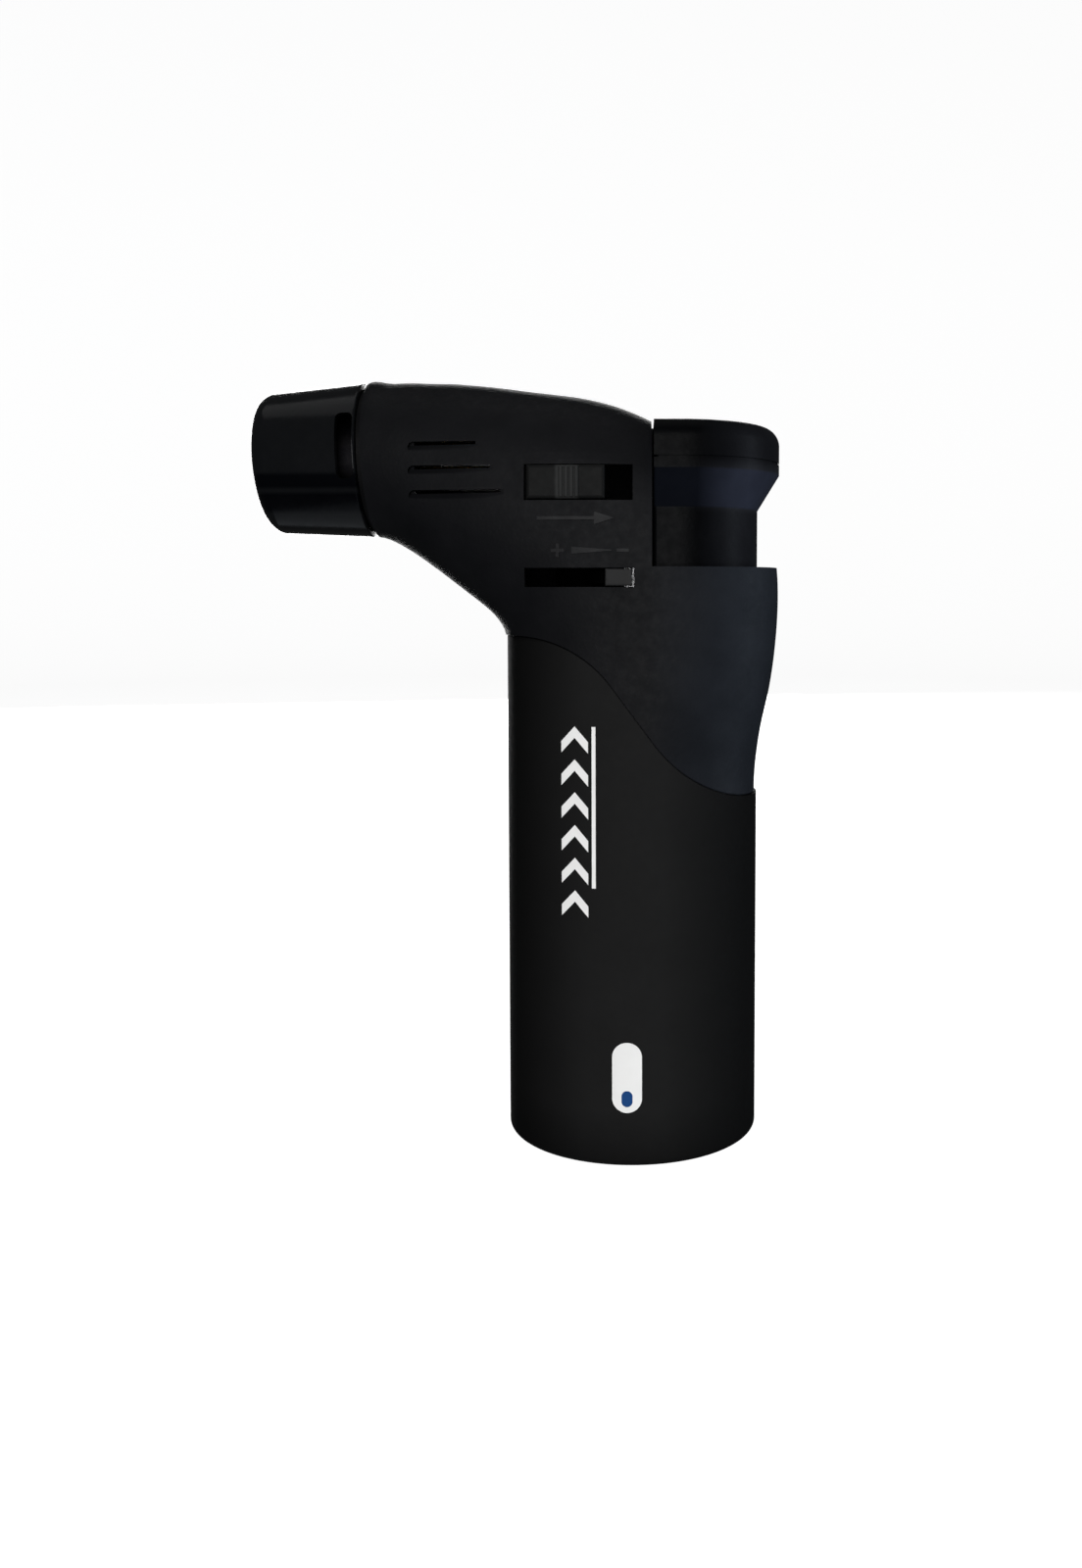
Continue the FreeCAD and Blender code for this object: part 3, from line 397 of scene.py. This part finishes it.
def marks():
    """Print on the sleeve, and raised symbols on the head that name the two sliders."""
    white = plastic_paint("white_print", (0.88, 0.88, 0.87), (0.94, 0.94, 0.93), 0.45, 0.6,
                          Specular_IOR_Level=0.1)
    blue = plastic_paint("blue_print", (0.006, 0.045, 0.17), (0.009, 0.06, 0.21), 0.45, 0.6,
                         Specular_IOR_Level=0.1)
    sleeve = surface_of(["tank_sleeve"])
    column = []
    for i in range(CHEVRON_COUNT):
        z0 = CHEVRON_Z_MM + CHEVRON_PITCH_MM * i
        column += chevron(*CHEVRON_X_MM, z0, z0 + CHEVRON_TALL_MM, CHEVRON_ARM_MM)
    mark("print_column", column, sleeve, PRINT_HEIGHT, white)
    mark("print_rule", [bar(*RULE_MM)], sleeve, PRINT_HEIGHT, white)
    mark("print_pill", [pill(*PILL_MM)], sleeve, PRINT_HEIGHT, white)
    mark("print_dot", [pill(*DOT_MM)], sleeve, DOT_HEIGHT, blue, sink=-0.02 * MM)
    head = surface_of(["left_shell"])
    grain = black_paint("raised_grain", (0.0068, 0.007, 0.0078), (0.009, 0.0093, 0.0104),
                        0.4, 0.5, 0.3, 0.08).material
    arrow = [bar(-14.2, -5.6, 99.6, 100.1), [(-5.6, 98.9), (-2.6, 99.85), (-5.6, 100.8)]]
    mark("raised_arrow", arrow, head, RELIEF_HEIGHT, grain)
    mark("raised_plus", [bar(-12.1, -10.1, 94.75, 95.25), bar(-11.35, -10.85, 95.25, 96.0),
                         bar(-11.35, -10.85, 94.0, 94.75)], head, RELIEF_HEIGHT, grain)
    mark("raised_wedge", [[(-9.0, 94.5), (-3.0, 94.95), (-3.0, 95.1), (-9.0, 95.55)]],
         head, RELIEF_HEIGHT, grain)
    mark("raised_minus", [bar(-2.2, -0.4, 94.75, 95.25)], head, RELIEF_HEIGHT, grain)


# ------------------------------------------------------------ stage
def stage_bowl():
    """Pale floor that curves up into a wall all round."""
    profile = [(FLOOR_INNER, 0.0), (FLOOR_FLAT, 0.0)]
    for i in range(1, FLOOR_STEPS + 1):
        turn = math.pi / 2 * i / FLOOR_STEPS
        profile.append((FLOOR_FLAT + FLOOR_BEND * math.sin(turn),
                        FLOOR_BEND * (1 - math.cos(turn))))
    profile.append((FLOOR_FLAT + FLOOR_BEND, FLOOR_TOP))
    turns = [2 * math.pi * i / FLOOR_SIDES for i in range(FLOOR_SIDES)]
    bm = bmesh.new()
    rings = []
    for r, z in profile:
        rings.append([bm.verts.new((r * math.cos(turn), r * math.sin(turn), z))
                      for turn in turns])
    hub = bm.verts.new((0, 0, 0))
    for i in range(FLOOR_SIDES):
        bm.faces.new((hub, rings[0][i], rings[0][(i + 1) % FLOOR_SIDES]))
    for inner, outer in zip(rings, rings[1:]):
        for i in range(FLOOR_SIDES):
            j = (i + 1) % FLOOR_SIDES
            bm.faces.new((inner[i], outer[i], outer[j], inner[j]))
    mesh = bpy.data.meshes.new("floor")
    bm.to_mesh(mesh)
    for face in mesh.polygons:
        face.use_smooth = True
    floor = bpy.data.objects.new("floor", mesh)
    bpy.context.scene.collection.objects.link(floor)
    p = Paint("pale_floor")
    p.set(Base_Color=(0.5, 0.5, 0.5, 1), Roughness=0.9, Specular_IOR_Level=0.1,
          Emission_Color=(1, 1, 1, 1), Emission_Strength=0.9)
    mesh.materials.append(p.material)
    # the floor is only a backdrop: the lamps alone light the object
    floor.visible_diffuse = False
    floor.visible_glossy = False
    floor.visible_shadow = False


def soft_light(name, place, aim, size, power, colour=WHITE):
    """Area lamp at a place, turned to the point it lights."""
    data = bpy.data.lights.new(name, "AREA")
    data.shape = "RECTANGLE"
    data.size, data.size_y = size
    data.energy = power
    data.color = colour
    light = bpy.data.objects.new(name, data)
    light.location = place
    light.rotation_euler = (Vector(aim) - Vector(place)).to_track_quat("-Z", "Y").to_euler()
    bpy.context.scene.collection.objects.link(light)


def lights():
    """Faint even sky and five soft lamps round the object."""
    world = bpy.data.worlds.new("studio")
    bpy.context.scene.world = world
    world.use_nodes = True
    sky = world.node_tree.nodes["Background"]
    sky.inputs["Color"].default_value = (1, 1, 1, 1)
    sky.inputs["Strength"].default_value = 0.05
    middle = (0.0, 0.0, 0.07)
    soft_light("front", (-0.01, -0.75, 0.18), middle, (0.35, 0.6), 5.2)
    soft_light("top", (-0.1, -0.05, 1.0), middle, (0.8, 0.8), 1.6)
    soft_light("right", (0.6, -0.05, 0.12), (0.0, 0.0, 0.1), (0.16, 0.5), 1.2, (0.8, 0.9, 1.0))
    soft_light("under", (-0.12, -0.02, -0.5), middle, (0.9, 0.3), 0.5, (0.85, 0.92, 1.0))
    soft_light("back", (-0.15, 0.75, 0.22), middle, (0.6, 0.6), 8.0)


def camera():
    """Close to the -Y side, level with the head, with a shifted lens."""
    data = bpy.data.cameras.new("camera")
    data.sensor_width = 36.0
    data.lens = CAMERA_LENS
    data.shift_x, data.shift_y = CAMERA_SHIFT
    data.clip_start = 0.01
    cam = bpy.data.objects.new("camera", data)
    cam.location = CAMERA_PLACE
    cam.rotation_euler = (math.radians(90 - CAMERA_PITCH), 0, 0)
    bpy.context.scene.collection.objects.link(cam)
    bpy.context.scene.camera = cam


paint_frame()
marks()
stage_bowl()
lights()
camera()
bpy.context.scene.view_settings.view_transform = "Standard"
